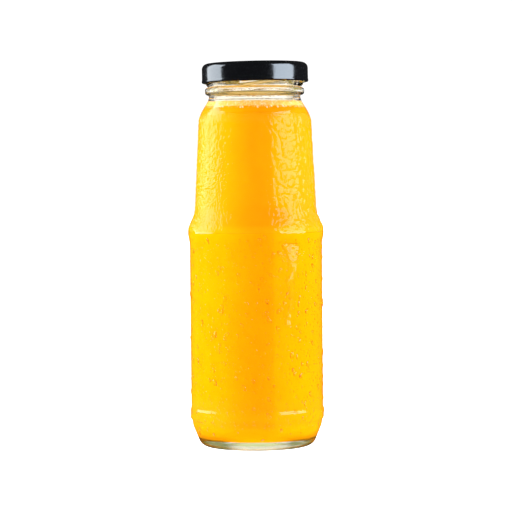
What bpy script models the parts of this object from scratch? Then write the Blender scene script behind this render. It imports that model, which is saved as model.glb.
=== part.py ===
# A 300 ml bottle of orange juice: a clear glass bottle with a wide mouth, its juice with a ring of froth on top, and a
# black twist-off cap. The bottle stands on the floor at the origin, its axis is Z, and its front faces -Y.
# Lengths are in millimetres and are scaled to metres as the meshes are made.

from math import acos, ceil, cos, pi, radians, sin, tan

import bmesh
import bpy
from mathutils import Matrix, Vector

MM = 0.001
SEGMENTS = 48  # sides of every turned piece
ARC_STEP = radians(31)  # the most that an outline turns from one point to the next
MERGE = 0.00001
GAP = 0.3  # kept between neighbouring pieces

# The bottle's outside. Its corners are given before they are rounded.
RIM_Z = 163.6
LIP_ROUND = 1.1
FINISH_R = 19.8  # the wall that carries the threads
BEAD_R, BEAD_ROUND = 21.4, 1.3
BEAD_TOP, BEAD_BOTTOM, BEAD_SLOPE = 154.7, 151.7, 0.5
NECK_R, NECK_Z, NECK_ROUND = 19.7, 149.6, 5.0
SHOULDER_R, SHOULDER_Z, SHOULDER_ROUND = 23.95, 142.7, 11.0
WAIST_R, WAIST_Z, WAIST_ROUND = 26.07, 101.1, 10.0  # foot of the upper, tapering body
RIDGE_R, RIDGE_Z, RIDGE_ROUND = 29.6, 93.0, 6.5
BODY_R, BODY_TOP, BODY_ROUND = 28.6, 87.6, 6.0
HEEL_RING_R, HEEL_RING_TOP, HEEL_RING_BOTTOM = 28.9, 15.9, 12.3
HEEL_RING_SLOPE, HEEL_RING_ROUND, HEEL_STEP_ROUND = 1.2, 1.5, 0.7
HEEL_STEP_R = 28.15
HEEL_R, HEEL_Z, HEEL_ROUND = 27.95, 9.2, 6.0
FOOT_R, FOOT_ROUND = 24.2, 4.6
BEARING_R, BEARING_ROUND = 19.8, 0.8  # inner edge of the ring that the bottle stands on
PUSH_UP_R, PUSH_UP_Z, PUSH_UP_ROUND = 18.4, 1.7, 1.5
DOME_R, DOME_Z, DOME_TOP = 15.4, 2.05, 2.8  # under the bottle's middle

# The bottle's inside
BORE_R, BORE_BOTTOM, BORE_ROUND = 17.2, 150.6, 8.0
INNER_SHOULDER_R, INNER_SHOULDER_Z, INNER_SHOULDER_ROUND = 21.65, 142.0, 8.0
INNER_WAIST_R, INNER_WAIST_Z, INNER_WAIST_ROUND = 23.65, 102.6, 12.0
INNER_R, INNER_TOP, INNER_ROUND = 26.2, 94.6, 10.0
FLOOR_Z, FLOOR_TOP = 4.6, 6.4  # its lowest ring and its middle
FLOOR_RING_R, FLOOR_ROUND = 19.0, 6.5
DOME_STEPS = 3

# Threads, rising to the right round the mouth
THREADS = 4
THREAD_START = radians(-109)  # the low end that shows below the cap, left of the front
THREAD_SPAN = radians(84)
THREAD_LOW, THREAD_RISE, THREAD_CURVE = 155.7, 4.6, 1.25
THREAD_ROUND = 1.1
THREAD_R = 21.0  # out to its crest
THREAD_ROOT = 19.2  # middle of its ends, which sink into the wall
THREAD_FADE = 0.13
THREAD_POINTS = 13

# The contents
JUICE_TOP = 145.9
FROTH_TOP = 148.1

# The cap, measured from the bottom of its curl
CAP_X, CAP_Z = 0.25, 156.7
CAP_LEAN = radians(0.7)  # it sits slightly askew, low on the left
CAP_HEIGHT = 8.5
CAP_SKIRT_R = 22.87
CAP_CURL_R, CAP_CURL = 23.0, 0.65  # out to the curl, and the curl's own radius
CAP_SHEET = 0.55
CAP_SHOULDER = 2.5
CAP_EDGE = 0.3  # rounding where the skirt meets its curl
PANEL_R, PANEL_DROP, PANEL_SLOPE, PANEL_ROUND = 18.2, 0.45, 0.9, 0.8
LUG_WIDTH, LUG_DEPTH, LUG_HEIGHT, LUG_EDGE = 4.2, 1.9, 0.85, 0.25
LUG_INNER_R, LUG_BOTTOM = 20.45, 0.2
LUG_ANGLE = THREAD_START + radians(76)  # under the high end of each thread


def clear_scene():
    for obj in list(bpy.data.objects):
        bpy.data.objects.remove(obj, do_unlink=True)


def make_collection(name):
    collection = bpy.data.collections.new(name)
    bpy.context.scene.collection.children.link(collection)
    return collection


def make_material(name, colour, roughness, metallic=0.0, alpha=1.0):
    material = bpy.data.materials.new(name)
    material.use_nodes = True
    shader = material.node_tree.nodes["Principled BSDF"]
    shader.inputs["Base Color"].default_value = (*colour, 1.0)
    shader.inputs["Roughness"].default_value = roughness
    shader.inputs["Metallic"].default_value = metallic
    shader.inputs["Alpha"].default_value = alpha
    return material


def rounded(corners):
    """Points along an outline of (r, z, rounding) corners, each rounded by an arc of that radius."""
    points = []
    for index, (r, z, rounding) in enumerate(corners):
        here = Vector((r, z))
        if rounding == 0 or index in (0, len(corners) - 1):
            points.append(here)
            continue
        back = (Vector(corners[index - 1][:2]) - here).normalized()
        ahead = (Vector(corners[index + 1][:2]) - here).normalized()
        turn = pi - acos(max(-1.0, min(1.0, back.dot(ahead))))
        reach = rounding * tan(turn / 2)
        centre = here + (back + ahead).normalized() * (rounding / cos(turn / 2))
        first = here + back * reach - centre
        side = 1 if first.cross(here + ahead * reach - centre) > 0 else -1
        steps = max(1, ceil(turn / ARC_STEP))
        for step in range(steps + 1):
            spoke = first.copy()
            spoke.rotate(Matrix.Rotation(side * turn * step / steps, 2))
            points.append(centre + spoke)
    return points


def dome(r_edge, z_edge, z_top):
    """Points of a shallow dome from its edge to its top on the axis, without the edge."""
    outward = [1 - step / DOME_STEPS for step in range(1, DOME_STEPS + 1)]
    return [Vector((r_edge * share, z_top + (z_edge - z_top) * share**2)) for share in outward]


def turned(name, outline, material, collection):
    """A solid of revolution, from an outline that runs down its outer side."""
    mesh = bpy.data.meshes.new(name)
    vertices = [(r * MM, 0, z * MM) for r, z in outline]
    mesh.from_pydata(vertices, [(i, i + 1) for i in range(len(vertices) - 1)], [])
    obj = bpy.data.objects.new(name, mesh)
    collection.objects.link(obj)
    screw = obj.modifiers.new("Turn", "SCREW")
    screw.steps = SEGMENTS
    screw.render_steps = SEGMENTS
    screw.use_merge_vertices = True
    screw.merge_threshold = MERGE
    apply_modifiers(obj)
    obj.data.materials.append(material)
    shade(obj)
    return obj


def apply_modifiers(obj):
    evaluated = obj.evaluated_get(bpy.context.evaluated_depsgraph_get())
    mesh = bpy.data.meshes.new_from_object(evaluated)
    obj.modifiers.clear()
    obj.data = mesh


def shade(obj):
    obj.data.shade_smooth()
    obj.data.set_sharp_from_angle(angle=radians(35))


def join(obj, additions):
    """Unites an object with every object of a collection, and removes the collection."""
    union = obj.modifiers.new("Join", "BOOLEAN")
    union.operation = "UNION"
    union.solver = "EXACT"
    union.operand_type = "COLLECTION"
    union.collection = additions
    apply_modifiers(obj)
    for addition in list(additions.objects):
        bpy.data.objects.remove(addition, do_unlink=True)
    bpy.data.collections.remove(additions)
    shade(obj)


def inner_outline(offset):
    """The bottle's inside from its bore down to the floor, drawn in by an offset towards the axis."""
    return [
        (BORE_R - offset, RIM_Z, 0),
        (BORE_R - offset, BORE_BOTTOM, BORE_ROUND),
        (INNER_SHOULDER_R - offset, INNER_SHOULDER_Z, INNER_SHOULDER_ROUND),
        (INNER_WAIST_R - offset, INNER_WAIST_Z, INNER_WAIST_ROUND),
        (INNER_R - offset, INNER_TOP, INNER_ROUND),
        (INNER_R - offset, FLOOR_Z + offset, FLOOR_ROUND - offset),
        (FLOOR_RING_R, FLOOR_Z + offset, 0),
    ]


def inner_points(offset):
    """The inside's points from the bore to the middle of the floor."""
    return rounded(inner_outline(offset)) + dome(FLOOR_RING_R, FLOOR_Z + offset, FLOOR_TOP + offset)


def filling(name, top, bottom, material, collection):
    """A slice of the bottle's contents between two levels, clear of the glass."""
    wall = inner_points(GAP)

    def wall_r(level):
        for upper, lower in zip(wall, wall[1:]):
            if lower.y <= level <= upper.y:
                return lower.x + (upper.x - lower.x) * (level - lower.y) / (upper.y - lower.y)

    outline = [Vector((0, top)), Vector((wall_r(top), top))]
    outline += [point for point in wall if bottom < point.y < top]
    if bottom > FLOOR_TOP:
        outline += [Vector((wall_r(bottom), bottom)), Vector((0, bottom))]
    return turned(name, outline, material, collection)


def make_thread(index, collection):
    """One thread, a round ridge that climbs round the mouth and sinks into the wall at both ends."""
    curve = bpy.data.curves.new("thread", "CURVE")
    curve.dimensions = "3D"
    curve.bevel_depth = THREAD_ROUND * MM
    curve.bevel_resolution = 2
    curve.use_fill_caps = True
    spline = curve.splines.new("POLY")
    spline.points.add(THREAD_POINTS - 1)
    for number, point in enumerate(spline.points):
        along = number / (THREAD_POINTS - 1)
        fade = min(1.0, along / THREAD_FADE, (1 - along) / THREAD_FADE)
        angle = THREAD_START + along * THREAD_SPAN + index * 2 * pi / THREADS
        r = THREAD_ROOT + fade * (THREAD_R - THREAD_ROUND - THREAD_ROOT)
        z = THREAD_LOW + THREAD_RISE * along**THREAD_CURVE
        point.co = (r * cos(angle) * MM, r * sin(angle) * MM, z * MM, 1)
        point.radius = 0.35 + 0.65 * fade
    drawn = bpy.data.objects.new("thread_curve", curve)
    collection.objects.link(drawn)
    mesh = bpy.data.meshes.new_from_object(drawn.evaluated_get(bpy.context.evaluated_depsgraph_get()))
    bpy.data.objects.remove(drawn, do_unlink=True)
    welded = bmesh.new()
    welded.from_mesh(mesh)
    bmesh.ops.remove_doubles(welded, verts=welded.verts, dist=MERGE)
    welded.to_mesh(mesh)
    welded.free()
    collection.objects.link(bpy.data.objects.new(f"thread_{index}", mesh))


def make_bottle(collection):
    glass = make_material("clear_glass", (0.86, 0.93, 0.88), 0.03, alpha=0.35)
    inside = list(reversed(inner_points(0)))[:-1]
    outside = rounded(
        [
            (BORE_R, BORE_BOTTOM + BORE_ROUND, 0),
            (BORE_R, RIM_Z, LIP_ROUND),
            (FINISH_R, RIM_Z, LIP_ROUND),
            (FINISH_R, BEAD_TOP, BEAD_ROUND / 3),
            (BEAD_R, BEAD_TOP, BEAD_ROUND),
            (BEAD_R, BEAD_BOTTOM, BEAD_ROUND),
            (NECK_R, BEAD_BOTTOM - BEAD_SLOPE, BEAD_ROUND / 3),
            (NECK_R, NECK_Z, NECK_ROUND),
            (SHOULDER_R, SHOULDER_Z, SHOULDER_ROUND),
            (WAIST_R, WAIST_Z, WAIST_ROUND),
            (RIDGE_R, RIDGE_Z, RIDGE_ROUND),
            (BODY_R, BODY_TOP, BODY_ROUND),
            (BODY_R, HEEL_RING_TOP + HEEL_RING_SLOPE, HEEL_RING_ROUND),
            (HEEL_RING_R, HEEL_RING_TOP, HEEL_RING_ROUND),
            (HEEL_RING_R, HEEL_RING_BOTTOM, HEEL_STEP_ROUND),
            (HEEL_STEP_R, HEEL_RING_BOTTOM - HEEL_RING_SLOPE, HEEL_STEP_ROUND),
            (HEEL_R, HEEL_Z, HEEL_ROUND),
            (FOOT_R, 0, FOOT_ROUND),
            (BEARING_R, 0, BEARING_ROUND),
            (PUSH_UP_R, PUSH_UP_Z, PUSH_UP_ROUND),
            (DOME_R, DOME_Z, 0),
        ]
    )
    underside = dome(DOME_R, DOME_Z, DOME_TOP)
    bottle = turned("bottle", inside + outside + underside, glass, collection)
    threads = make_collection("threads")
    for index in range(THREADS):
        make_thread(index, threads)
    join(bottle, threads)
    return bottle


def make_cap(collection):
    lacquer = make_material("black_lacquer", (0.012, 0.012, 0.014), 0.22)
    panel = CAP_HEIGHT - PANEL_DROP
    ceiling = panel - CAP_SHEET
    skirt_inside = CAP_SKIRT_R - CAP_SHEET
    curl_inside = CAP_CURL_R - 2 * CAP_CURL
    outline = rounded(
        [
            (0, panel, 0),
            (PANEL_R - PANEL_SLOPE, panel, PANEL_ROUND),
            (PANEL_R, CAP_HEIGHT, PANEL_ROUND),
            (CAP_SKIRT_R, CAP_HEIGHT, CAP_SHOULDER),
            (CAP_SKIRT_R, 2 * CAP_CURL + CAP_EDGE, CAP_EDGE),
            (CAP_CURL_R, 2 * CAP_CURL - CAP_EDGE, CAP_EDGE),
            (CAP_CURL_R, 0, CAP_CURL),
            (curl_inside, 0, CAP_CURL),
            (curl_inside, 2 * CAP_CURL - CAP_EDGE, CAP_EDGE),
            (skirt_inside, 2 * CAP_CURL + CAP_EDGE, CAP_EDGE),
            (skirt_inside, ceiling, CAP_SHOULDER - CAP_SHEET),
            (0, ceiling, 0),
        ]
    )
    cap = turned("cap", outline, lacquer, collection)
    lugs = make_collection("lugs")
    for index in range(THREADS):
        make_lug(LUG_ANGLE + index * 2 * pi / THREADS, lugs)
    join(cap, lugs)
    cap.location = (CAP_X * MM, 0, CAP_Z * MM)
    cap.rotation_euler = (0, -CAP_LEAN, 0)
    return cap


def make_lug(angle, collection):
    """A tongue of the cap's curl, turned in under a thread."""
    bpy.ops.mesh.primitive_cube_add(size=1)
    lug = bpy.context.active_object
    lug.name = "lug"
    shape = Matrix.Diagonal((LUG_DEPTH * MM, LUG_WIDTH * MM, LUG_HEIGHT * MM, 1))
    place = Matrix.Translation(((LUG_INNER_R + LUG_DEPTH / 2) * MM, 0, (LUG_BOTTOM + LUG_HEIGHT / 2) * MM))
    lug.data.transform(Matrix.Rotation(angle, 4, "Z") @ place @ shape)
    bevel = lug.modifiers.new("Round", "BEVEL")
    bevel.width = LUG_EDGE * MM
    bevel.segments = 1
    apply_modifiers(lug)
    for holder in list(lug.users_collection):
        holder.objects.unlink(lug)
    collection.objects.link(lug)


def main():
    clear_scene()
    parts = make_collection("orange_juice_bottle")
    make_bottle(parts)
    juice = make_material("orange_juice", (1.0, 0.33, 0.0), 0.35)
    froth = make_material("juice_froth", (1.0, 0.62, 0.14), 0.6)
    filling("juice", JUICE_TOP, 0, juice, parts)
    filling("froth", FROTH_TOP, JUICE_TOP + GAP, froth, parts)
    make_cap(parts)


main()
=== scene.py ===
# A cold glass bottle of orange juice with a black twist-off cap, wet with condensation.
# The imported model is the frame: every piece here lies where its solid does. Sizes are in millimetres unless
# a line says otherwise, and meshes are made in metres.
from random import Random
from math import acos, atan2, ceil, cos, pi, radians, sin, sqrt, tan

import bmesh
import bpy
from mathutils import Matrix, Vector, noise


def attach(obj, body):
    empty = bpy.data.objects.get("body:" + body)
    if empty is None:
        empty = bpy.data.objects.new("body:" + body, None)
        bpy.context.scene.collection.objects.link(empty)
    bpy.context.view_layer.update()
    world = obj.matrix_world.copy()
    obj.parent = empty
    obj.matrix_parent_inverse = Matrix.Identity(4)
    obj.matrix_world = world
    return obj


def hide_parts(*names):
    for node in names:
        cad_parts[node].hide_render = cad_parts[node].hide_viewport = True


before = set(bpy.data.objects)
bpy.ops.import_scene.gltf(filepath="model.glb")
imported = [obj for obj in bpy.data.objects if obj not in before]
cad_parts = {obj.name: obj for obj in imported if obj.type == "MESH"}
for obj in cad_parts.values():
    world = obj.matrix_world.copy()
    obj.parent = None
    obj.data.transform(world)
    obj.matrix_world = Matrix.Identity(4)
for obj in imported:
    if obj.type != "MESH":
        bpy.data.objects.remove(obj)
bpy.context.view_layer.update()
mm = 0.001


# Shader maths: a wrapped socket adds its Math node when it meets an operator
class Wire:
    def __init__(self, tree, socket):
        self.tree, self.socket = tree, socket

    def combine(self, operation, *values):
        node = self.tree.nodes.new("ShaderNodeMath")
        node.operation = operation
        for index, value in enumerate(values):
            if isinstance(value, Wire):
                self.tree.links.new(value.socket, node.inputs[index])
            else:
                node.inputs[index].default_value = value
        return Wire(self.tree, node.outputs[0])

    def __add__(self, other):
        return self.combine("ADD", self, other)

    def __radd__(self, other):
        return self.combine("ADD", other, self)

    def __sub__(self, other):
        return self.combine("SUBTRACT", self, other)

    def __rsub__(self, other):
        return self.combine("SUBTRACT", other, self)

    def __mul__(self, other):
        return self.combine("MULTIPLY", self, other)

    def __rmul__(self, other):
        return self.combine("MULTIPLY", other, self)

    def __truediv__(self, other):
        return self.combine("DIVIDE", self, other)

    def clamped(self):
        return self.combine("MINIMUM", self.combine("MAXIMUM", self, 0.0), 1.0)

    def absolute(self):
        return self.combine("ABSOLUTE", self)

    def step(self, low, high):
        return ((self - low) / (high - low)).clamped()


def put(tree, value, socket):
    # Links a wire or an output to a socket, or sets its value
    if isinstance(value, Wire):
        tree.links.new(value.socket, socket)
    elif isinstance(value, bpy.types.NodeSocket):
        tree.links.new(value, socket)
    else:
        socket.default_value = value


def newNode(tree, kind, settings, values):
    # A node's kind, its settings, then its values or links: i2 is its third input, Scale the one of that name
    node = tree.nodes.new(kind)
    for key, value in (settings or {}).items():
        setattr(node, key, value)
    for label, value in values.items():
        numbered = label[0] == "i" and label[1:].isdigit()
        put(tree, value, node.inputs[int(label[1:]) if numbered else label.replace("_", " ")])
    return node


def mixedColour(tree, share, first, second):
    values = {"i0": share, "i6": first, "i7": second}
    return newNode(tree, "ShaderNodeMix", {"data_type": "RGBA"}, values).outputs[2]


class Finish:
    # One material and its Principled shader
    def __init__(self, name, **constants):
        self.material = bpy.data.materials.new(name)
        self.material.use_nodes = True
        self.tree = self.material.node_tree
        self.shader = self.tree.nodes["Principled BSDF"]
        for label, value in constants.items():
            self.shader.inputs[label.replace("_", " ")].default_value = value

    def add(self, kind, output=0, settings=None, **values):
        return Wire(self.tree, newNode(self.tree, kind, settings, values).outputs[output])

    def feed(self, label, value):
        put(self.tree, value, self.shader.inputs[label])

    def place(self):
        return self.add("ShaderNodeTexCoord", "Object")

    def axes(self):
        split = self.add("ShaderNodeSeparateXYZ", i0=self.place()).socket.node
        return [Wire(self.tree, output) for output in split.outputs]

    def noise(self, scale, detail=2.0, roughness=0.5, stretch=(1, 1, 1)):
        spot = self.add("ShaderNodeMapping", Vector=self.place(), Scale=stretch)
        grain = {"Scale": scale, "Detail": detail, "Roughness": roughness}
        return self.add("ShaderNodeTexNoise", "Fac", Vector=spot, **grain)

    def mix(self, share, first, second):
        return Wire(self.tree, mixedColour(self.tree, share, first, second))

    def bump(self, height, strength, distance):
        return self.add("ShaderNodeBump", Height=height, Strength=strength, Distance=distance)


def rgba(red, green, blue):
    return (red, green, blue, 1.0)


# A geometry tree whose inputs are named
class Growth:
    def __init__(self, name, **inputs):
        self.tree = bpy.data.node_groups.new(name, "GeometryNodeTree")
        self.tree.interface.new_socket("Geometry", in_out="INPUT", socket_type="NodeSocketGeometry")
        self.names = {}
        for label, kind in inputs.items():
            socket = self.tree.interface.new_socket(
                label.replace("_", " "), in_out="INPUT", socket_type="NodeSocket" + kind
            )
            self.names[label] = socket.identifier
        self.tree.interface.new_socket("Geometry", in_out="OUTPUT", socket_type="NodeSocketGeometry")
        self.source = self.tree.nodes.new("NodeGroupInput")

    def given(self, label):
        return self.source.outputs[label.replace("_", " ")]

    def add(self, kind, output=0, settings=None, **values):
        return newNode(self.tree, kind, settings, values).outputs[output]

    def close(self, geometry):
        out = self.tree.nodes.new("NodeGroupOutput")
        self.tree.links.new(geometry, out.inputs[0])


def grown(name, source, growth, values):
    # Runs a geometry tree on a source mesh, and keeps the result as a plain mesh
    holder = bpy.data.objects.new(name + "Grower", source)
    bpy.context.scene.collection.objects.link(holder)
    modifier = holder.modifiers.new("Grow", "NODES")
    modifier.node_group = growth.tree
    for label, value in values.items():
        modifier[growth.names[label]] = value
    depsgraph = bpy.context.evaluated_depsgraph_get()
    mesh = bpy.data.meshes.new_from_object(holder.evaluated_get(depsgraph), depsgraph=depsgraph)
    bpy.data.objects.remove(holder, do_unlink=True)
    mesh.name = name
    piece = bpy.data.objects.new(name, mesh)
    bpy.context.scene.collection.objects.link(piece)
    return piece


def settle(piece, slotName, *nodes):
    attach(piece, "root")
    piece.visible_shadow = slotName != "clear_glass"  # light goes straight through glass and water
    if nodes:
        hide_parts(*nodes)
    print("made", piece.name, len(piece.data.polygons), "faces")


# Outlines: (r, z, rounding) corners, joined by straight lines and arcs
outlineDetail = {"arcStep": radians(7), "longestRow": 3.0, "steps": 192}


def rounded(corners, arcStep=outlineDetail["arcStep"]):
    points = []
    for index, (r, z, rounding) in enumerate(corners):
        here = Vector((r, z))
        if rounding == 0 or index in (0, len(corners) - 1):
            points.append(here)
            continue
        back = (Vector(corners[index - 1][:2]) - here).normalized()
        ahead = (Vector(corners[index + 1][:2]) - here).normalized()
        turn = pi - acos(max(-1.0, min(1.0, back.dot(ahead))))
        reach = rounding * tan(turn / 2)
        centre = here + (back + ahead).normalized() * (rounding / cos(turn / 2))
        first = here + back * reach - centre
        side = 1 if first.cross(here + ahead * reach - centre) > 0 else -1
        count = max(1, ceil(turn / arcStep))
        for number in range(count + 1):
            spoke = first.copy()
            spoke.rotate(Matrix.Rotation(side * turn * number / count, 2))
            points.append(centre + spoke)
    return points


def divided(points, longest):
    # Adds points so that no row of faces is taller than the longest
    finer = [points[0]]
    for start, end in zip(points, points[1:]):
        count = max(1, ceil((end - start).length / longest))
        finer += [start.lerp(end, number / count) for number in range(1, count + 1)]
    return finer


def domePoints(edgeR, edgeZ, topZ, count=8):
    shares = [1 - number / count for number in range(1, count + 1)]
    return [Vector((edgeR * share, topZ + (edgeZ - topZ) * share**2)) for share in shares]


weldDistance = 0.000002  # metres


# Turns an outline round Z: the outline is a curve swept along a small circle
def turningTree():
    growth = Growth("turned", Steps="Int", Hub="Float", Finish="Material")
    outline = growth.add("GeometryNodeMeshToCurve", Mesh=growth.given("Geometry"))
    size = {"Resolution": growth.given("Steps"), "Radius": growth.given("Hub")}
    hub = growth.add("GeometryNodeCurvePrimitiveCircle", **size)
    swept = growth.add("GeometryNodeCurveToMesh", Curve=hub, Profile_Curve=outline)
    welded = growth.add("GeometryNodeMergeByDistance", Geometry=swept, Distance=weldDistance)
    smooth = growth.add("GeometryNodeSetShadeSmooth", Geometry=welded)
    real = growth.add("GeometryNodeRealizeInstances", Geometry=smooth)
    growth.close(growth.add("GeometryNodeSetMaterial", Geometry=real, Material=growth.given("Finish")))
    return growth


turning = turningTree()
hubRadius = 1.0


def turned(name, points, material, steps=outlineDetail["steps"], closed=False):
    flat = bpy.data.meshes.new(name + "Outline")
    edges = [(number, number + 1) for number in range(len(points) - 1)]
    if closed:
        edges.append((len(points) - 1, 0))
    flat.from_pydata([((r - hubRadius) * mm, -z * mm, 0) for r, z in points], edges, [])
    return grown(name, flat, turning, {"Steps": steps, "Hub": hubRadius * mm, "Finish": material})


# The bottle, with the sizes of its solid
glass = {
    "rimZ": 163.6,
    "lipRound": 1.1,
    "finishR": 19.8,
    "bead": (21.4, 154.7, 151.7, 1.3),  # radius, top, bottom, rounding
    "beadSlope": 0.5,
    "neck": (19.7, 149.6, 5.0),
    "shoulder": (23.95, 142.7, 11.0),
    "waist": (26.07, 101.1, 10.0),
    "ridge": (29.6, 93.0, 6.5),
    "body": (28.6, 87.6, 6.0),
    "heelRing": (28.9, 15.9, 12.3, 1.2),  # radius, top, bottom, slope
    "heelRounds": (1.5, 0.7),  # of its top and its bottom
    "heelStep": (28.15, 11.1, 0.7),
    "heel": (27.95, 9.2, 6.0),
    "foot": (24.2, 0.0, 4.6),
    "bearing": (19.8, 0.0, 0.8),
    "pushUp": (18.4, 1.7, 1.5),
    "dome": (15.4, 2.05, 2.8),  # edge radius, edge height, top
    "ior": 1.5,
    "colour": rgba(0.97, 0.99, 0.975),
    "creamy": rgba(0.955, 0.94, 0.875),  # the neck, with a trace of juice inside
    "creamyFrom": (144, 150),
    "bottomTintAndShade": (rgba(0.86, 0.92, 0.74), rgba(0.1, 0.12, 0.03)),  # the green tint of the thick base, and the dark olive shade painted on its sides
    "bottomTop": (3.7, 2.9),  # heights between which that colour begins
    "sideShadeLift": 1.1,  # how much higher the painted shade begins at the sides
    "sides": (6, 15),  # where the painted shade sets in, from the middle
    "misty": ((9.0, 22.0), (139.0, 146.5)),  # heights that the finest dew clouds
    "mist": (0.08, 0.13),  # roughness on the right and on the left
    "mistSides": (-6, -18),
}
inside = {
    "bore": (17.2, 150.6, 8.0),
    "shoulder": (21.65, 142.0, 8.0),
    "waist": (23.65, 102.6, 12.0),
    "body": (26.2, 94.6, 10.0),
    "floor": (19.0, 4.6, 6.4, 6.5),  # ring radius, height, height of the middle, rounding
}
thread = {
    "count": 4,
    "start": radians(-109),
    "span": radians(84),
    "low": 155.7,
    "rise": 4.6,
    "curve": 1.25,
    "crest": 1.2,  # out of the wall
    "halfWidth": 1.15,
    "fade": 0.13,
    "row": 0.18,  # the longest row of faces there
    "wallBand": (0.6, 1.0),  # threads rise from this far below the bead's top to this far below the rim
    "onWall": 0.02,  # a point this near the wall's radius belongs to it
}


skinFrom = 19  # the outside lies further out than this, and the bore and the push-up further in
aboveBore = 160  # a height above all of the contents


def insidePoints(offset, top=aboveBore):
    # The inside from its bore down to the middle of the floor, drawn in by an offset
    boreR, boreZ, boreRound = inside["bore"]
    floorR, floorZ, floorTop, floorRound = inside["floor"]
    corners = [(boreR - offset, top, 0), (boreR - offset, boreZ, boreRound)]
    for part in ("shoulder", "waist", "body"):
        r, z, rounding = inside[part]
        corners.append((r - offset, z, rounding))
    corners.append((inside["body"][0] - offset, floorZ + offset, floorRound - offset))
    corners.append((floorR, floorZ + offset, 0))
    return rounded(corners) + domePoints(floorR, floorZ + offset, floorTop + offset)


def outsidePoints():
    rimZ, lip, finishR = glass["rimZ"], glass["lipRound"], glass["finishR"]
    beadR, beadTop, beadBottom, beadRound = glass["bead"]
    ringR, ringTop, ringBottom, ringSlope = glass["heelRing"]
    topRound, bottomRound = glass["heelRounds"]
    boreR, boreZ, boreRound = inside["bore"]
    domeR, domeZ, domeTop = glass["dome"]
    corners = [
        (boreR, boreZ + boreRound, 0),
        (boreR, rimZ, lip),
        (finishR, rimZ, lip),
        (finishR, beadTop, beadRound / 3),
        (beadR, beadTop, beadRound),
        (beadR, beadBottom, beadRound),
        (glass["neck"][0], beadBottom - glass["beadSlope"], beadRound / 3),
        glass["neck"],
        glass["shoulder"],
        glass["waist"],
        glass["ridge"],
        glass["body"],
        (glass["body"][0], ringTop + ringSlope, topRound),
        (ringR, ringTop, topRound),
        (ringR, ringBottom, bottomRound),
        glass["heelStep"],
        glass["heel"],
        glass["foot"],
        glass["bearing"],
        glass["pushUp"],
        (domeR, domeZ, 0),
    ]
    return rounded(corners), domePoints(domeR, domeZ, domeTop)


def threadHeight(angle, z):
    # How far the threads stand out of the wall here, from 0 to 1
    best = 0.0
    for index in range(thread["count"]):
        turn = (angle - thread["start"] - index * 2 * pi / thread["count"]) % (2 * pi)
        along = turn / thread["span"]
        if along > 1:
            continue
        fade = min(1.0, along / thread["fade"], (1 - along) / thread["fade"])
        middle = thread["low"] + thread["rise"] * along ** thread["curve"]
        across = abs(z - middle) / thread["halfWidth"]
        if across < 1:
            best = max(best, sqrt(1 - across**2) ** 1.2 * sin(fade * pi / 2))
    return best


def glassFinish():
    finish = Finish("clearGlass", IOR=glass["ior"], Transmission_Weight=1.0)
    height = finish.axes()[2] / mm
    across = finish.axes()[0] / mm
    right, left = glass["mist"]
    bands = []
    for low, high in glass["misty"]:
        bands.append(height.step(low - 2, low + 2) * height.step(high + 1.5, high - 1.5))
    fine = finish.noise(260, 2).step(0.2, 0.8) * 0.06 + right
    finish.feed("Roughness", (bands[0] + bands[1]) * (fine + across.step(*glass["mistSides"]) * (left - right)))
    # Painted shade: towards the sides and in streaks, the base's colour turns dark olive
    away = across.absolute().step(*glass["sides"])
    shadeStreaks = finish.noise(160, 3, 0.6, (0.5, 0.5, 6)).step(0.35, 0.65)
    edge = finish.mix((away * (shadeStreaks * 0.4 + 0.65) + shadeStreaks * 0.3).clamped(), *glass["bottomTintAndShade"])
    wall = finish.mix(height.step(*glass["creamyFrom"]), glass["colour"], glass["creamy"])
    low = (height - away * glass["sideShadeLift"]).step(*glass["bottomTop"])
    finish.feed("Base Color", finish.mix(low, wall, edge))
    ripple = finish.noise(90, 2, stretch=(1, 1, 0.35))
    grain = finish.noise(1500, 2)
    finish.feed("Normal", finish.bump(ripple + grain * 0.12, 0.35, 0.0004))
    return finish.material


def makeGlass():
    wall, underside = outsidePoints()
    rows = list(reversed(insidePoints(0, glass["rimZ"])))[:-1] + wall
    belowBead, belowRim = thread["wallBand"]
    low, high = glass["bead"][1] - belowBead, glass["rimZ"] - belowRim
    points = [rows[0]]
    for start, end in zip(rows, rows[1:]):
        fine = start.x > skinFrom and min(start.y, end.y) < high and max(start.y, end.y) > low
        points += divided([start, end], thread["row"] if fine else outlineDetail["longestRow"])[1:]
    piece = turned("bottleGlass", points + underside, glassFinish())
    finishR = glass["finishR"] * mm
    for vertex in piece.data.vertices:
        x, y, z = vertex.co
        r = sqrt(x * x + y * y)
        if abs(r - finishR) < thread["onWall"] * mm and low * mm < z < high * mm:
            grow = 1 + threadHeight(atan2(y, x), z / mm) * thread["crest"] * mm / r
            vertex.co = (x * grow, y * grow, z)
    settle(piece, "clear_glass", "bottle")


# The juice reaches just into the glass, so that no air shows between them. Only its floor stays a hair above
# the glass, whose thick base mirrors along itself as it does under a real drink.
juice = {
    "into": 0.22,
    "floorGap": 0.12,
    "gapTo": (20.4, 1.0),  # radius that the gap reaches, and the width over which it closes
    "floorBelow": 40,  # a height between the floor and the top
    "top": 145.9,
    "rim": 1.5,  # the flat top's outermost row
    "deep": rgba(1.0, 0.325, 0.0),
    "pale": rgba(1.0, 0.405, 0.0),
    "upper": ((88, 98), 0.34),  # painted light: more of the pale colour above the ridge, where the dew takes some of the light
    "lower": ((11, 6), 0.5),  # and painted light near the floor
}


def cutAt(points, top):
    # The part of an outline, from its foot up, that lies below a level
    for number, (upper, lower) in enumerate(zip(points, points[1:])):
        if lower.y <= top <= upper.y and upper.y > lower.y:
            edge = lower.lerp(upper, (top - lower.y) / (upper.y - lower.y))
            return [edge] + points[number + 1 :]


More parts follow.
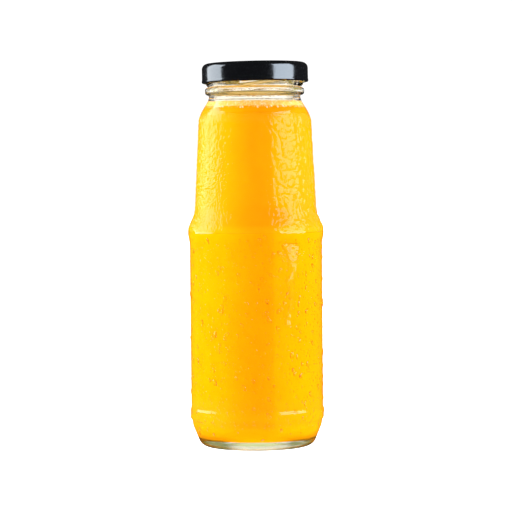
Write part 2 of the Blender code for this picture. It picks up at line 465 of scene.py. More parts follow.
def juiceFinish():
    finish = Finish("orangeJuice", Roughness=0.5, IOR=1.35, Specular_IOR_Level=0.0)
    clouds = finish.noise(45, 3, 0.6, (1, 1, 0.6))
    pulp = finish.noise(420, 2, 0.6)
    height = finish.axes()[2] / mm
    # Painted light: the juice turns paler above the ridge and near the floor
    upper, lower = [height.step(*levels) * share for levels, share in (juice["upper"], juice["lower"])]
    share = (clouds.step(0.35, 0.7) * 0.35 + pulp.step(0.45, 0.75) * 0.15 + (upper + lower)).clamped()
    finish.feed("Base Color", finish.mix(share, juice["deep"], juice["pale"]))
    return finish.material


def makeJuice():
    side = cutAt(insidePoints(-juice["into"]), juice["top"])
    edgeR, closing = juice["gapTo"]
    for point in side:
        if point.y < juice["floorBelow"]:
            share = max(0.0, min(1.0, (edgeR - point.x) / closing))
            point.y += share * (juice["into"] + juice["floorGap"])
    edge = side[0]
    points = [Vector((0, edge.y)), Vector((edge.x - juice["rim"], edge.y)), *side]
    piece = turned("orangeJuice", divided(points, outlineDetail["longestRow"]), juiceFinish())
    settle(piece, "orange_juice", "juice")


# The froth: a pale layer with bubbles against the glass
froth = {
    "bottom": 145.8,
    "top": 148.1,
    "colour": rgba(1.0, 0.76, 0.22),
    "dark": rgba(0.97, 0.54, 0.08),
    "sag": 0.7,  # its surface in the middle lies this far below its edge
    "dish": ((2.2, 0.6), (1.0, 0.3)),  # and near the edge: how far in, and how far below
    "row": 0.8,
    "surfaceDepth": 1.0,  # from this far above its bottom it counts as surface, and is rough
    "rough": ((900, 0.35), (2300, 0.2)),  # how fine, and how high
    "ragged": ((500, 0.5), (1300, 0.3)),  # the same for its lower edge
    "raggedFrom": 17,
    "bubbles": {"seed": 4, "spacing": 0.52, "density": 3.2, "size": (0.16, 0.46)},
    "bubbleBand": (145.2, 148.2),
    "bubbleInset": 0.1,
    "bubbleRow": 0.5,
    "bubbleColours": (rgba(1.0, 0.84, 0.5), rgba(1.0, 0.58, 0.12)),
}


def frothFinish():
    finish = Finish("juiceFroth", Roughness=0.5, Specular_IOR_Level=0.4)
    cells = finish.add(
        "ShaderNodeTexVoronoi", "Distance", {"feature": "F1"}, Vector=finish.place(), Scale=1300.0
    )
    share = cells.step(0.15, 0.6)
    finish.feed("Base Color", finish.mix(share, froth["colour"], froth["dark"]))
    finish.feed("Normal", finish.bump(cells, 0.5, 0.0003))
    return finish.material


def makeFroth():
    wall = insidePoints(-juice["into"])
    upper = cutAt(wall, froth["top"])[0]
    lower = cutAt(wall, froth["bottom"])[0]
    between = [point for point in wall if froth["bottom"] < point.y < froth["top"]]
    dish = [Vector((upper.x - inward, upper.y - down)) for inward, down in froth["dish"]]
    points = [Vector((0, upper.y - froth["sag"])), *dish, upper, *between, lower, Vector((0, lower.y))]
    piece = turned("juiceFroth", divided(points, froth["row"]), frothFinish())
    for vertex in piece.data.vertices:
        if vertex.co.z > (froth["bottom"] + froth["surfaceDepth"]) * mm:
            waves = froth["rough"]
        elif vertex.co.x**2 + vertex.co.y**2 > (froth["raggedFrom"] * mm) ** 2:
            waves = froth["ragged"]
        else:
            continue
        vertex.co.z += sum(noise.noise(vertex.co * fine) * high for fine, high in waves) * mm
    settle(piece, "juice_froth", "froth")


# The cap, measured from the bottom of its curl
cap = {
    "x": 0.25,
    "z": 156.7,
    "lean": radians(0.7),
    "height": 8.5,
    "skirtR": 22.87,
    "curlR": 23.0,
    "curl": 0.65,
    "sheet": 0.55,
    "shoulder": 2.5,
    "edge": 0.3,
    "panel": (18.2, 0.45, 0.9, 0.8),  # radius, drop, slope, rounding
    "lug": (4.2, 1.9, 0.85, 20.45, 0.2),  # width, depth, height, inner radius, bottom
    "lugEdge": 0.25,
    "lugFrom": radians(76),  # from the low end of a thread
    "lacquer": rgba(0.001, 0.001, 0.0014),
    # a bluish tint painted into the cap's reflections, for the colour of the lamp they mirror
    "gloss": rgba(0.8, 0.9, 1.0),
    "inner": rgba(0.85, 0.74, 0.36),  # gold lacquer
    "goldSkirt": ((22.47, 22.43), (157.2, 157.3), (163.6, 163.5)),  # where it fades outwards, below and above
    "goldCeiling": ((20.3, 20.2), (164.5, 164.45)),  # outwards and above
    "row": 2.0,
}


def capFinish():
    # The gloss is tinted bluish: a painted reflection colour
    finish = Finish("blackLacquer", IOR=2.3, Specular_Tint=cap["gloss"])
    across, along, height = finish.axes()
    aside = across - cap["x"] * mm
    r = (aside * aside + along * along).combine("SQRT", aside * aside + along * along)
    radius, bottom, top = [(start * mm, end * mm) for start, end in cap["goldSkirt"]]
    skirt = r.step(*radius) * height.step(*bottom) * height.step(*top)
    radius, top = [(start * mm, end * mm) for start, end in cap["goldCeiling"]]
    ceiling = r.step(*radius) * height.step(*top)
    finish.feed("Base Color", finish.mix((skirt + ceiling).clamped(), cap["lacquer"], cap["inner"]))
    wear = finish.noise(300, 3, 0.6)
    finish.feed("Roughness", wear.step(0.3, 0.8) * 0.1 + 0.1)
    dents = finish.noise(140, 1, stretch=(1, 1, 0.5))
    grain = finish.noise(2200, 1)
    finish.feed("Normal", finish.bump(dents + grain * 0.05, 0.14, 0.0003))
    return finish.material


def capOutline():
    panelR, drop, slope, panelRound = cap["panel"]
    curlTop = 2 * cap["curl"]
    panel = cap["height"] - drop
    ceiling = panel - cap["sheet"]
    skirtIn = cap["skirtR"] - cap["sheet"]
    curlIn = cap["curlR"] - 2 * cap["curl"]
    return rounded(
        [
            (0, panel, 0),
            (panelR - slope, panel, panelRound),
            (panelR, cap["height"], panelRound),
            (cap["skirtR"], cap["height"], cap["shoulder"]),
            (cap["skirtR"], curlTop + cap["edge"], cap["edge"]),
            (cap["curlR"], curlTop - cap["edge"], cap["edge"]),
            (cap["curlR"], 0, cap["curl"] * 0.99),
            (curlIn, 0, cap["curl"] * 0.99),
            (curlIn, curlTop - cap["edge"], cap["edge"]),
            (skirtIn, curlTop + cap["edge"], cap["edge"]),
            (skirtIn, ceiling, cap["shoulder"] - cap["sheet"]),
            (0, ceiling, 0),
        ]
    )


def addLugs(mesh):
    width, depth, height, innerR, bottom = cap["lug"]
    whole = bmesh.new()
    whole.from_mesh(mesh)
    for index in range(thread["count"]):
        turn = thread["start"] + cap["lugFrom"] + index * 2 * pi / thread["count"]
        lug = bmesh.new()
        middle = Vector((innerR + depth / 2, 0, bottom + height / 2)) * mm
        shape = Matrix.Translation(middle) @ Matrix.Diagonal((depth * mm, width * mm, height * mm, 1))
        bmesh.ops.create_cube(lug, size=1, matrix=Matrix.Rotation(turn, 4, "Z") @ shape)
        edge = cap["lugEdge"] * mm
        bmesh.ops.bevel(lug, geom=lug.edges, offset=edge, segments=3, profile=0.5, affect="EDGES")
        part = bpy.data.meshes.new("lug")
        lug.to_mesh(part)
        lug.free()
        whole.from_mesh(part)
        bpy.data.meshes.remove(part)
    for face in whole.faces:
        face.smooth = True
    whole.to_mesh(mesh)
    whole.free()


def makeCap():
    piece = turned("twistCap", divided(capOutline(), cap["row"]), capFinish())
    addLugs(piece.data)
    place = Matrix.Translation((cap["x"] * mm, 0, cap["z"] * mm)) @ Matrix.Rotation(-cap["lean"], 4, "Y")
    piece.data.transform(place)
    settle(piece, "black_lacquer", "cap")


# Condensation: packed beads cover the upper body. Loose beads cover the rest, with larger drops and a sheet of
# water that ran. All of it reaches just into the glass, so that no air shows under it.
water = {"ior": 1.33, "sink": 0.03, "tint": rgba(1, 1, 1)}
packedDew = {
    "band": (92.4, 143.4),
    "row": 0.36,
    "steps": 500,
    "base": -0.04,
    "sink": 0.14,
    "fine": (1.7, 0.75, 0.3),  # cell, rim and height of the beads on the left
    "broad": (3.2, 1.0, 0.32),  # and towards the right
    "swell": (2.4, 0.1),  # the size and height of slow waves under the beads
    "wobble": (0.7,),
    "broadFrom": (-2.0, 10.0),  # across the front
    "ends": 2.2,  # the film thins out over this height
}
packedLabels = {  # the geometry tree's names for them
    "fine": ("Fine_Cell", "Fine_Rim", "Fine_Height"),
    "broad": ("Broad_Cell", "Broad_Rim", "Broad_Height"),
    "swell": ("Swell_Size", "Swell_Height"),
    "wobble": ("Wobble",),
    "broadFrom": ("Broad_From", "Broad_To"),
}
looseRows = {"row": 2.5, "steps": 96}  # of the skins that loose beads are scattered over
looseDew = {
    "mist": {"seed": 21, "spacing": 1.25, "density": 1.2, "size": (0.13, 0.42), "band": (9.5, 89.5)},
    "drops": {"seed": 9, "spacing": 4.2, "density": 0.07, "size": (0.4, 0.95), "band": (6.0, 90.0)},
}
beadShape = {"sides": 7, "rings": 2, "rise": 0.12, "sunk": 0.09}


def skinPoints(low, high, offset):
    # The outside of the glass between two heights, from the top down, moved out by an offset
    wall = [point for point in outsidePoints()[0] if point.x > skinFrom]
    band = []
    for start, end in zip(wall, wall[1:]):
        if start.y > high >= end.y:
            band.append(end.lerp(start, (high - end.y) / (start.y - end.y)))
        if low <= end.y <= high:
            band.append(end)
        if start.y > low > end.y:
            band.append(end.lerp(start, (low - end.y) / (start.y - end.y)))
            break
    moved = []
    for number, point in enumerate(band):
        way = (band[min(len(band) - 1, number + 1)] - band[max(0, number - 1)]).normalized()
        moved.append(point + Vector((-way.y, way.x)) * offset)
    return moved


def skinAt(z, points):
    for upper, lower in zip(points, points[1:]):
        if lower.y <= z <= upper.y:
            share = (upper.y - z) / max(upper.y - lower.y, 0.000001)
            slope = atan2(upper.x - lower.x, upper.y - lower.y)
            return upper.x + (lower.x - upper.x) * share, slope
    return points[-1].x, 0.0


def beadMesh(name, sides, rings, rise, sunk):
    # A low dome of unit radius, closed underneath
    vertices, faces = [], []
    for ring in range(rings + 1):
        r = 1 - max(0, ring - 1) / rings
        z = (1 - r * r) * rise
        if ring == 0:
            r, z = 0.97, -sunk
        vertices += [(r * cos(k * 2 * pi / sides), r * sin(k * 2 * pi / sides), z) for k in range(sides)]
    vertices.append((0, 0, rise))
    for ring in range(rings):
        for k in range(sides):
            a, b = ring * sides + k, ring * sides + (k + 1) % sides
            faces.append((a, b, b + sides, a + sides))
    top, last = len(vertices) - 1, rings * sides
    faces += [(last + k, last + (k + 1) % sides, top) for k in range(sides)]
    faces.append(tuple(reversed(range(sides))))
    mesh = bpy.data.meshes.new(name)
    mesh.from_pydata(vertices, [], faces)
    return mesh


def looseTree():
    # Scatters beads over a skin: random places a set distance apart, then random size, length and turn
    numbers = dict.fromkeys(("Spacing", "Density", "Smallest", "Largest"), "Float")
    growth = Growth("looseDew", Bead="Object", **numbers, Seed="Int", Finish="Material")
    seed = growth.given("Seed")
    spots = growth.add(
        "GeometryNodeDistributePointsOnFaces",
        0,
        {"distribute_method": "POISSON"},
        Mesh=growth.given("Geometry"),
        Distance_Min=growth.given("Spacing"),
        Density_Max=growth.given("Density"),
        Seed=seed,
    )
    spin = growth.add("FunctionNodeRandomValue", 1, {"data_type": "FLOAT"}, i2=-0.7, i3=0.7, Seed=seed)
    spun = growth.add("ShaderNodeCombineXYZ", Z=spin)
    turn = growth.add(
        "FunctionNodeRotateRotation",
        0,
        {"rotation_space": "LOCAL"},
        Rotation=spots.node.outputs["Rotation"],
        Rotate_By=spun,
    )
    chance = growth.add("FunctionNodeRandomValue", 1, {"data_type": "FLOAT"}, i2=0.0, i3=1.0, Seed=seed)
    skewed = growth.add("ShaderNodeMath", 0, {"operation": "POWER"}, i0=chance, i1=2.2)
    ends = {"To_Min": growth.given("Smallest"), "To_Max": growth.given("Largest")}
    size = growth.add("ShaderNodeMapRange", 0, None, Value=skewed, **ends)
    long = growth.add("FunctionNodeRandomValue", 1, {"data_type": "FLOAT"}, i2=0.75, i3=1.5, Seed=seed)
    length = growth.add("ShaderNodeMath", 0, {"operation": "MULTIPLY"}, i0=size, i1=long)
    scale = growth.add("ShaderNodeCombineXYZ", X=size, Y=length, Z=size)
    shape = growth.add("GeometryNodeObjectInfo", "Geometry", None, Object=growth.given("Bead"))
    placed = growth.add(
        "GeometryNodeInstanceOnPoints", 0, None, Points=spots, Instance=shape, Rotation=turn, Scale=scale
    )
    real = growth.add("GeometryNodeRealizeInstances", Geometry=placed)
    smooth = growth.add("GeometryNodeSetShadeSmooth", Geometry=real)
    growth.close(growth.add("GeometryNodeSetMaterial", Geometry=smooth, Material=growth.given("Finish")))
    return growth


def packedTree():
    # Raises a film of water into packed beads, where its "wet" attribute says so
    labels = [label for row in packedLabels.values() for label in row]
    growth = Growth("packedDew", **dict.fromkeys(labels, "Float"), Finish="Material")
    spot = growth.add("GeometryNodeInputPosition")
    stir = growth.add("ShaderNodeTexNoise", "Color", None, Vector=spot, Scale=900.0, Detail=1.0)
    middle = growth.add("ShaderNodeVectorMath", 0, {"operation": "SUBTRACT"}, i0=stir, i1=(0.5, 0.5, 0.5))
    wobble = growth.given("Wobble")
    moved = growth.add("ShaderNodeVectorMath", 0, {"operation": "SCALE"}, i0=middle, Scale=wobble)
    warped = growth.add("ShaderNodeVectorMath", 0, {"operation": "ADD"}, i0=spot, i1=moved)

    def maths(operation, first, second):
        return growth.add("ShaderNodeMath", 0, {"operation": operation}, i0=first, i1=second)

    def beads(kind):
        cell, rim, height = [growth.given(kind + part) for part in ("_Cell", "_Rim", "_Height")]
        scale = maths("DIVIDE", 1.0, cell)
        edge = growth.add(
            "ShaderNodeTexVoronoi", "Distance", {"feature": "DISTANCE_TO_EDGE"}, Vector=warped, Scale=scale
        )
        across = maths("DIVIDE", maths("MULTIPLY", edge, cell), rim)
        hollow = maths("SUBTRACT", 1.0, maths("MINIMUM", across, 1.0))
        return maths("MULTIPLY", maths("SUBTRACT", 1.0, maths("MULTIPLY", hollow, hollow)), height)

    side = growth.add("ShaderNodeSeparateXYZ", 0, None, i0=spot)
    ends = {"From_Min": growth.given("Broad_From"), "From_Max": growth.given("Broad_To")}
    share = growth.add("ShaderNodeMapRange", 0, None, Value=side, **ends)
    fine, broad = beads("Fine"), beads("Broad")
    packed = maths("ADD", fine, maths("MULTIPLY", maths("SUBTRACT", broad, fine), share))
    swellScale = maths("DIVIDE", 1.0, growth.given("Swell_Size"))
    swell = growth.add("ShaderNodeTexNoise", 0, None, Vector=spot, Scale=swellScale, Detail=1.0)
    raised = maths("ADD", packed, maths("MULTIPLY", swell, growth.given("Swell_Height")))
    wet = growth.add("GeometryNodeInputNamedAttribute", 0, {"data_type": "FLOAT"}, Name="wet")
    normal = growth.add("GeometryNodeInputNormal")
    rise = maths("MULTIPLY", raised, wet)
    offset = growth.add("ShaderNodeVectorMath", 0, {"operation": "SCALE"}, i0=normal, Scale=rise)
    lifted = growth.add("GeometryNodeSetPosition", Geometry=growth.given("Geometry"), Offset=offset)
    smooth = growth.add("GeometryNodeSetShadeSmooth", Geometry=lifted)
    real = growth.add("GeometryNodeRealizeInstances", Geometry=smooth)
    growth.close(growth.add("GeometryNodeSetMaterial", Geometry=real, Material=growth.given("Finish")))
    return growth


def waterFinish():
    return Finish(
        "clearWater", Roughness=0.0, IOR=water["ior"], Transmission_Weight=1.0, Base_Color=water["tint"]
    ).material


def makePackedDew(finish):
    low, high = packedDew["band"]
    outer = divided(skinPoints(low, high, packedDew["base"]), packedDew["row"])
    inner = divided(skinPoints(low, high, -packedDew["sink"]), outlineDetail["longestRow"])
    film = turned("film", outer + list(reversed(inner)), None, packedDew["steps"], closed=True)
    wet = film.data.attributes.new("wet", "FLOAT", "POINT")
    wall = skinPoints(low - 1, high + 1, 0)
    ends = packedDew["ends"]
    for number, vertex in enumerate(film.data.vertices):
        r, z = sqrt(vertex.co.x**2 + vertex.co.y**2) / mm, vertex.co.z / mm
        share = max(0.0, min(1.0, (high - z) / ends, (z - low) / ends))
        if r > skinAt(z, wall)[0] + (packedDew["base"] - packedDew["sink"]) / 2:
            wet.data[number].value = share
            thin = (packedDew["base"] + packedDew["sink"]) * 0.9 * (1 - min(1.0, share * 2)) / r
            vertex.co.x, vertex.co.y = vertex.co.x * (1 - thin), vertex.co.y * (1 - thin)
    values = {"Finish": finish}
    for key, labels in packedLabels.items():
        values.update({label: value * mm for label, value in zip(labels, packedDew[key])})
    piece = grown("packedDew", film.data, packedTree(), values)
    bpy.data.objects.remove(film, do_unlink=True)
    settle(piece, "clear_glass")


def keepMesh(name, mesh, finish, slotName):
    mesh.materials.append(finish)
    for face in mesh.polygons:
        face.use_smooth = True
    piece = bpy.data.objects.new(name, mesh)
    bpy.context.scene.collection.objects.link(piece)
    settle(piece, slotName)


# A sheet of water below the ridge and the run that left it
sheet = {
    "rows": [  # height, left and right edge in degrees from the front, and thickness
        (88.0, 24.0, 37.0, 0.04),
        (87.2, 21.8, 39.3, 0.07),
        (85.2, 24.9, 39.8, 0.13),
        (83.0, 27.0, 39.5, 0.19),
        (81.2, 27.6, 38.0, 0.24),
        (79.3, 28.6, 37.8, 0.3),
        (76.2, 31.3, 37.1, 0.39),
        (74.4, 28.6, 35.6, 0.44),
        (72.3, 25.8, 34.3, 0.5),
        (70.4, 26.9, 33.5, 0.55),
        (69.2, 28.2, 33.6, 0.42),
        (68.0, 28.8, 34.0, 0.26),
        (65.4, 28.9, 33.9, 0.22),
        (62.7, 29.2, 33.7, 0.22),
        (58.8, 26.9, 31.4, 0.26),
        (55.6, 25.0, 30.4, 0.4),
        (53.6, 25.0, 30.8, 0.55),
        (52.4, 26.6, 29.6, 0.42),
    ],
    "row": 0.3,
    "columns": 18,
    "ragged": 1.1,  # degrees
    "flatness": 5.0,
    "ripple": (1.1, 0.06),  # size and height
    "between": (40, 95),
}


def makeSheet(finish):
    # A closed shell: an upper and a lower layer of rows, joined along their edges
    wall = skinPoints(*sheet["between"], 0)
    levels = []
    for start, end in zip(sheet["rows"], sheet["rows"][1:]):
        count = ceil((start[0] - end[0]) / sheet["row"])
        levels += [[a + (b - a) * step / count for a, b in zip(start, end)] for step in range(count)]
    levels.append(list(sheet["rows"][-1]))
    columns = sheet["columns"]
    vertices, faces = [], []
    for number, (z, left, right, thick) in enumerate(levels):
        r = skinAt(z, wall)[0]
        ends = min(1.0, (number + 0.5) / 3, (len(levels) - number - 0.5) / 3)
        for layer in (1, 0):
            for column in range(columns + 1):
                u = column / columns * 2 - 1
                stir = noise.noise(Vector((z * 0.9, u * 2, 3))) * 0.6
                stir += noise.noise(Vector((z * 2.3, u, 8))) * 0.4
                turn = radians((left + right) / 2 + u * (right - left) / 2 + stir * sheet["ragged"] * abs(u))
                across = radians(left + (right - left) * column / columns) * r
                ripple = noise.noise(Vector((across, z * 0.7, 5)) / sheet["ripple"][0]) * sheet["ripple"][1]
                rise = (thick + ripple) * (1 - abs(u) ** sheet["flatness"]) * sqrt(ends) - water["sink"]
                reach = r + (rise if layer else -water["sink"] * 3)
                vertices.append((reach * sin(turn) * mm, -reach * cos(turn) * mm, z * mm))
    span = columns + 1
    for number in range(len(levels) - 1):
        here, below = number * 2 * span, (number + 1) * 2 * span
        for column in range(columns):
            faces.append((here + column, below + column, below + column + 1, here + column + 1))
            a, b = here + span + column, below + span + column
            faces.append((a, a + 1, b + 1, b))
        faces.append((here, here + span, below + span, below))
        faces.append((here + columns, below + columns, below + span + columns, here + span + columns))
    last = (len(levels) - 1) * 2 * span
    for column in range(columns):
        faces.append((column, column + 1, span + column + 1, span + column))
        faces.append((last + column, last + span + column, last + span + column + 1, last + column + 1))
    mesh = bpy.data.meshes.new("waterSheet")
    mesh.from_pydata(vertices, [], faces)
    keepMesh("waterSheet", mesh, finish, "clear_glass")


# Drops seen one by one: degrees from the front, height, half width, half length, lean in degrees
placedDrops = [
    (21.2, 76.8, 0.9, 1.2, 60), (18.3, 73.7, 0.7, 1.0, -50), (14.7, 83.1, 0.7, 1.3, 5),
    (20.5, 83.8, 0.8, 1.4, -40), (7.6, 90.6, 0.7, 1.3, -35), (27.5, 66.8, 0.7, 0.8, 40),
    (19.3, 59.5, 0.9, 1.1, -20), (22.3, 60.2, 0.6, 0.9, 50), (10.7, 55.9, 0.7, 1.5, -50),
    (39.2, 62.5, 0.8, 1.5, 10), (48.7, 59.1, 0.9, 1.4, 55), (39.7, 58.5, 0.8, 1.0, -50),
    (48.3, 69.3, 0.8, 1.2, 40), (58.2, 82.1, 0.8, 1.3, 30), (57.4, 78.2, 0.8, 1.2, -50),
    (40.4, 65.1, 0.8, 1.0, 40), (36.5, 52.5, 0.8, 1.0, -40), (31.5, 40.9, 1.2, 1.5, 30),
    (36.8, 40.0, 0.8, 1.0, 0), (49.4, 36.6, 1.2, 1.3, 20), (40.0, 46.8, 0.8, 1.0, 30),
    (34.7, 32.9, 0.9, 1.2, 40), (41.8, 32.1, 0.9, 1.2, 50), (9.5, 15.5, 0.7, 1.6, -30),
    (45.9, 20.1, 0.9, 1.3, 20), (24.0, 80.3, 0.5, 1.1, -30), (13.0, 80.0, 0.5, 0.8, 60),
    (25.2, 62.9, 0.6, 1.3, -60), (-33.0, 77.9, 0.8, 1.0, -20), (-29.3, 77.7, 0.7, 0.9, 30),
    (-31.1, 59.0, 0.7, 1.5, 30), (-38.0, 49.7, 0.9, 1.2, 20), (-41.1, 48.2, 0.8, 1.0, -20),
    (-25.9, 49.9, 0.8, 1.1, 20), (-27.7, 64.9, 0.8, 1.1, 10), (-30.5, 61.5, 0.8, 1.0, 0),
    (-34.7, 42.7, 0.9, 1.2, -30), (-33.2, 45.2, 0.7, 0.9, 0), (-45.0, 88.9, 0.9, 1.2, 0),
    (-39.2, 29.3, 0.9, 1.7, -40), (-43.8, 6.7, 0.7, 1.0, 20), (-63.0, 8.4, 0.9, 1.0, 0),
    (4.7, 4.9, 0.5, 1.0, 70), (84.0, 86.0, 1.1, 1.4, 0), (88.0, 81.4, 1.0, 1.2, 0),
    (86.0, 72.1, 1.0, 1.2, 0), (86.0, 61.8, 1.6, 2.1, 0), (88.0, 40.3, 1.3, 1.6, 0),
    (85.0, 34.5, 1.1, 1.3, 0), (88.0, 29.9, 1.0, 1.2, 0), (84.0, 26.9, 1.1, 1.3, 0),
    (88.0, 20.5, 1.2, 1.4, 0), (85.0, 15.5, 1.3, 1.4, 0), (-86.0, 66.0, 1.1, 1.3, 0),
    (-88.0, 47.0, 1.0, 1.2, 0), (-84.0, 24.0, 1.2, 1.5, 0),
]
placedShape = {"sides": 16, "rings": 5, "rise": 0.16, "sunk": 0.12}
placedBetween = (2.5, 100)
edgeDrops = (80, 1.5)  # from how many degrees round drops stand out further, and how much


def stamped(name, mesh, places):
    # One mesh of the same shape put at many places
    vertices, faces = [], []
    for place in places:
        first = len(vertices)
        vertices += [place @ vertex.co for vertex in mesh.vertices]
        faces += [tuple(first + corner for corner in face.vertices) for face in mesh.polygons]
    joined = bpy.data.meshes.new(name)
    joined.from_pydata(vertices, [], faces)
    return joined


def standing(r, degreesRound, z, slope, lean, width, length, height):
    # A frame on a wall: its Z stands out of the wall, and its Y runs up it
    turn = radians(degreesRound)
    spot = Matrix.Translation((r * sin(turn) * mm, -r * cos(turn) * mm, z * mm))
    facing = Matrix.Rotation(turn, 4, "Z") @ Matrix.Rotation(radians(90) + slope, 4, "X")
    size = Matrix.Diagonal((width * mm, length * mm, height * mm, 1))
    return spot @ facing @ Matrix.Rotation(radians(-lean), 4, "Z") @ size


def makePlacedDrops(finish):
    shape = beadMesh("placed", **placedShape)
    wall = skinPoints(*placedBetween, 0)
    places = []
    for degreesRound, z, width, length, lean in placedDrops:
        r, slope = skinAt(z, wall)
        height = sqrt(width * length) * (edgeDrops[1] if abs(degreesRound) > edgeDrops[0] else 1)
        places.append(standing(r, degreesRound, z, slope, lean, width, length, height))
    keepMesh("placedDrops", stamped("placedDrops", shape, places), finish, "clear_glass")


# Specks of pulp that dried inside the neck, mostly at the front
flecks = {
    "count": 46,
    "seed": 12,
    "band": (149.8, 152.3),
    "front": (-22, 12),  # degrees from the front
    "elsewhere": 4,  # every fourth one lies anywhere
    "spread": 60,  # degrees
    "size": (0.12, 0.34),
    "length": (0.8, 1.6),  # times its size
    "colour": (rgba(0.36, 0.17, 0.02), rgba(0.75, 0.42, 0.08)),
}


def makeFlecks():
    rng = Random(flecks["seed"])
    finish = Finish("driedPulp", Roughness=0.6)
    finish.feed("Base Color", finish.mix(finish.noise(700).step(0.4, 0.6), *flecks["colour"]))
    shape = beadMesh("fleck", sides=8, rings=2, rise=0.5, sunk=0.3)
    boreR = inside["bore"][0]
    low, high = flecks["size"]
    places = []
    for number in range(flecks["count"]):
        front = number % flecks["elsewhere"] != 0
        degreesRound = rng.uniform(*flecks["front"]) if front else rng.gauss(0, flecks["spread"])
        z = rng.uniform(*flecks["band"])
        size = low + (high - low) * rng.random() ** 2
        length = size * rng.uniform(*flecks["length"])
        places.append(standing(boreR, degreesRound, z, 0, 0, size, length, -size))
    mesh = stamped("pulpFlecks", shape, places)
    mesh.flip_normals()
    keepMesh("pulpFlecks", mesh, finish.material, "orange_juice")


def makeBubbles(growth):
    # Bubbles of the froth that press against the glass
    finish = Finish("frothBubbles", Roughness=0.25, Specular_IOR_Level=0.5)
    share = finish.noise(900, 1).step(0.4, 0.6)
    finish.feed("Base Color", finish.mix(share, *froth["bubbleColours"]))
    low, high = froth["bubbleBand"]
    wall = insidePoints(-juice["into"] + froth["bubbleInset"])
    between = [point for point in wall if low < point.y < high]
    band = [cutAt(wall, high)[0], *between, cutAt(wall, low)[0]]
    ball = bpy.data.meshes.new("ball")
    shape = bmesh.new()
    bmesh.ops.create_icosphere(shape, subdivisions=2, radius=1)
    shape.to_mesh(ball)
    shape.free()
    outline = divided(band, froth["bubbleRow"])
    scatter("frothBubbles", outline, froth["bubbles"], finish.material, growth, ball, "juice_froth")


def scatter(name, outline, kind, finish, growth, mesh, slotName):
    base = turned(name + "Skin", outline, None, looseRows["steps"])
    bead = bpy.data.objects.new(name + "Bead", mesh)
    bpy.context.scene.collection.objects.link(bead)
    values = {
        "Bead": bead,
        "Spacing": kind["spacing"] * mm,
        "Density": kind["density"] / mm**2,
        "Smallest": kind["size"][0] * mm,
        "Largest": kind["size"][1] * mm,
        "Seed": kind["seed"],
        "Finish": finish,
    }
    piece = grown(name, base.data, growth, values)
    bpy.data.objects.remove(base, do_unlink=True)
    bpy.data.objects.remove(bead, do_unlink=True)
    settle(piece, slotName)


def makeCondensation():
    finish = waterFinish()
    makePackedDew(finish)
    growth = looseTree()
    for name, kind in looseDew.items():
        bead = beadMesh(name + "Bead", **beadShape)
        outline = divided(skinPoints(*kind["band"], 0), looseRows["row"])
        scatter(name, outline, kind, finish, growth, bead, "clear_glass")
    makeSheet(finish)
    makePlacedDrops(finish)
    makeBubbles(growth)
    makeFlecks()


# Camera, lights and floor
view = {
    "distance": 930,
    "height": 114.45,
    "pitch": radians(2.0),
    "roll": radians(0.5),
    "frameWidth": 221.3,  # at the bottle's axis
    "sensor": 36,
}


def makeCamera():
    data = bpy.data.cameras.new("camera")
    data.sensor_width = view["sensor"]
    data.lens = view["sensor"] * view["distance"] / view["frameWidth"]
    data.clip_start = 0.01
    camera = bpy.data.objects.new("camera", data)
    bpy.context.scene.collection.objects.link(camera)
    turn = Matrix.Rotation(radians(90) - view["pitch"], 4, "X") @ Matrix.Rotation(-view["roll"], 4, "Z")
    place = Matrix.Translation((0, -view["distance"] * mm, view["height"] * mm))
    camera.matrix_world = place @ turn
    bpy.context.scene.camera = camera


# Softboxes, in metres: azimuth is turned from the camera's side towards the right, and each faces the bottle.
# Those that shine are mirrored by the glass and the cap, and the others only light the juice. They are white
# unless they have a colour.
softboxes = {
    "leftShine": {"azimuth": -101, "middle": 0.48, "size": (0.8, 0.82), "power": 7, "shine": True},
    "rightShine": {
        "azimuth": 66, "middle": 0.48, "size": (0.86, 0.82), "power": 8.6, "shine": True,
        "colour": (0.93, 0.96, 1),
    },
    "leftGlow": {"azimuth": -96, "middle": 0.3, "size": (0.7, 1.0), "power": 25, "shine": False},
    "rightGlow": {"azimuth": 98, "middle": 0.3, "size": (0.7, 1.0), "power": 22.5, "shine": False},
    "frontGlow": {"azimuth": 20, "middle": 0.48, "size": (0.8, 0.8), "power": 8.5, "shine": False},
}
studio = {  # lengths in metres
    "boxDistance": 0.9,
    "backdrop": 1.1,
    "front": 0.12,  # brightness of the room behind the camera
    "turns": (-0.5, 0.1),  # where that turns into the backdrop, along Y
    "shade": 0.03,  # brightness of all that gloss mirrors
    "through": (0.45, 0.8),  # what glass shows from straight behind is white, and from the sides dim
    "dimSide": rgba(0.66, 0.6, 0.2),
    "dimFront": rgba(0.64, 0.36, 0.03),
    # Painted shade and light for the floor as the glass shows it: dim olive away from the bottle, pale near it
    "dimFloor": rgba(0.3, 0.24, 0.05),
    "paleFloor": rgba(0.5, 0.53, 0.34),  # painted light: what the base shows of it
    "near": (0.012, 0.006),  # squares of the radii between which the pale floor ends
    "behind": (0.15, 0.4),  # the floor seen through the glass turns white between these distances
    "behindAcross": (0.6, 0.3),  # and this far to the sides
    "floorGlow": 1.75,
    "floor": rgba(0.6, 0.6, 0.6),
    "floorSize": 14,
}


def makeSoftbox(name, box):
    turn = radians(box["azimuth"])
    data = bpy.data.lights.new(name, "AREA")
    data.shape = "RECTANGLE"
    data.size, data.size_y = box["size"]
    data.energy = box["power"]
    data.color = box.get("colour", (1, 1, 1))
    lamp = bpy.data.objects.new(name, data)
    bpy.context.scene.collection.objects.link(lamp)
    away = Vector((sin(turn), -cos(turn), 0))
    lamp.location = away * studio["boxDistance"] + Vector((0, 0, box["middle"]))
    lamp.rotation_euler = (-away).to_track_quat("-Z", "Y").to_euler()
    lamp.visible_camera = False
    lamp.visible_glossy = box["shine"]
    lamp.visible_diffuse = not box["shine"]
    lamp.visible_transmission = False


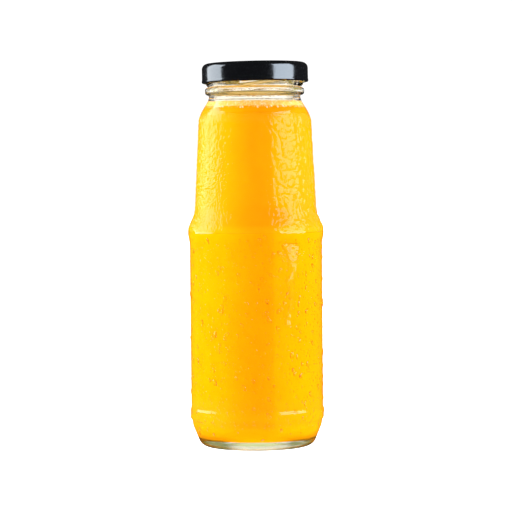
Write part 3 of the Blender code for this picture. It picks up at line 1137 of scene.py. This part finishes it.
def seenThrough(tree):
    # 1 for what the camera sees through glass alone
    path = tree.nodes.new("ShaderNodeLightPath")
    lit = Wire(tree, path.outputs["Diffuse Depth"]).clamped()
    return Wire(tree, path.outputs["Is Transmission Ray"]) * (1 - lit)


def makeRoom():
    # The room is white, but what gloss mirrors of it is dark, as where only the softboxes are lit
    world = bpy.data.worlds.new("paleRoom")
    bpy.context.scene.world = world
    world.use_nodes = True
    tree = world.node_tree
    path = tree.nodes.new("ShaderNodeLightPath")
    passed = Wire(tree, path.outputs["Is Transmission Ray"])
    glossy = Wire(tree, path.outputs["Is Glossy Ray"]) * (1 - passed)
    spot = tree.nodes.new("ShaderNodeTexCoord")
    split = tree.nodes.new("ShaderNodeSeparateXYZ")
    tree.links.new(spot.outputs["Generated"], split.inputs[0])
    ahead = Wire(tree, split.outputs["Y"])
    white = ahead.step(*studio["turns"]) * (studio["backdrop"] - studio["front"]) + studio["front"]
    direct = Wire(tree, path.outputs["Is Camera Ray"]) * studio["backdrop"]
    white = white.combine("MAXIMUM", white, direct)
    dim = seenThrough(tree) * (1 - ahead.step(*studio["through"]))
    strength = (1 - dim) * ((1 - glossy) * white + glossy * studio["shade"]) + dim
    tree.links.new(strength.socket, tree.nodes["Background"].inputs["Strength"])
    front = ahead.step(*reversed(studio["turns"]))
    shade = mixedColour(tree, front, studio["dimSide"], studio["dimFront"])
    tree.links.new(mixedColour(tree, dim, rgba(1, 1, 1), shade), tree.nodes["Background"].inputs["Color"])


def makeStage():
    bpy.ops.mesh.primitive_plane_add(size=studio["floorSize"])
    floor = bpy.context.active_object
    floor.name = "floor"
    glow = studio["floorGlow"]
    finish = Finish("paleFloor", Roughness=0.9, Specular_IOR_Level=0.0, Emission_Strength=glow)
    # Seen through the glass, the floor takes no light and glows with painted shade and light instead: dim
    # olive, pale near the bottle and white behind it
    through = seenThrough(finish.tree)
    finish.feed("Base Color", finish.mix(through, studio["floor"], rgba(0, 0, 0)))
    across, along = finish.axes()[:2]
    near = (across * across + along * along).step(*studio["near"])
    behind = along.step(*studio["behind"]) * across.absolute().step(*studio["behindAcross"])
    shaded = finish.mix(near, studio["dimFloor"], studio["paleFloor"])
    below = finish.mix(behind, shaded, rgba(1, 1, 1))
    finish.feed("Emission Color", finish.mix(through, rgba(1, 1, 1), below))
    floor.data.materials.append(finish.material)
    floor.visible_glossy = False
    for name, box in softboxes.items():
        makeSoftbox(name, box)
    makeRoom()
    bpy.context.scene.view_settings.view_transform = "Standard"


makeGlass()
makeJuice()
makeFroth()
makeCap()
makeCondensation()
makeCamera()
makeStage()
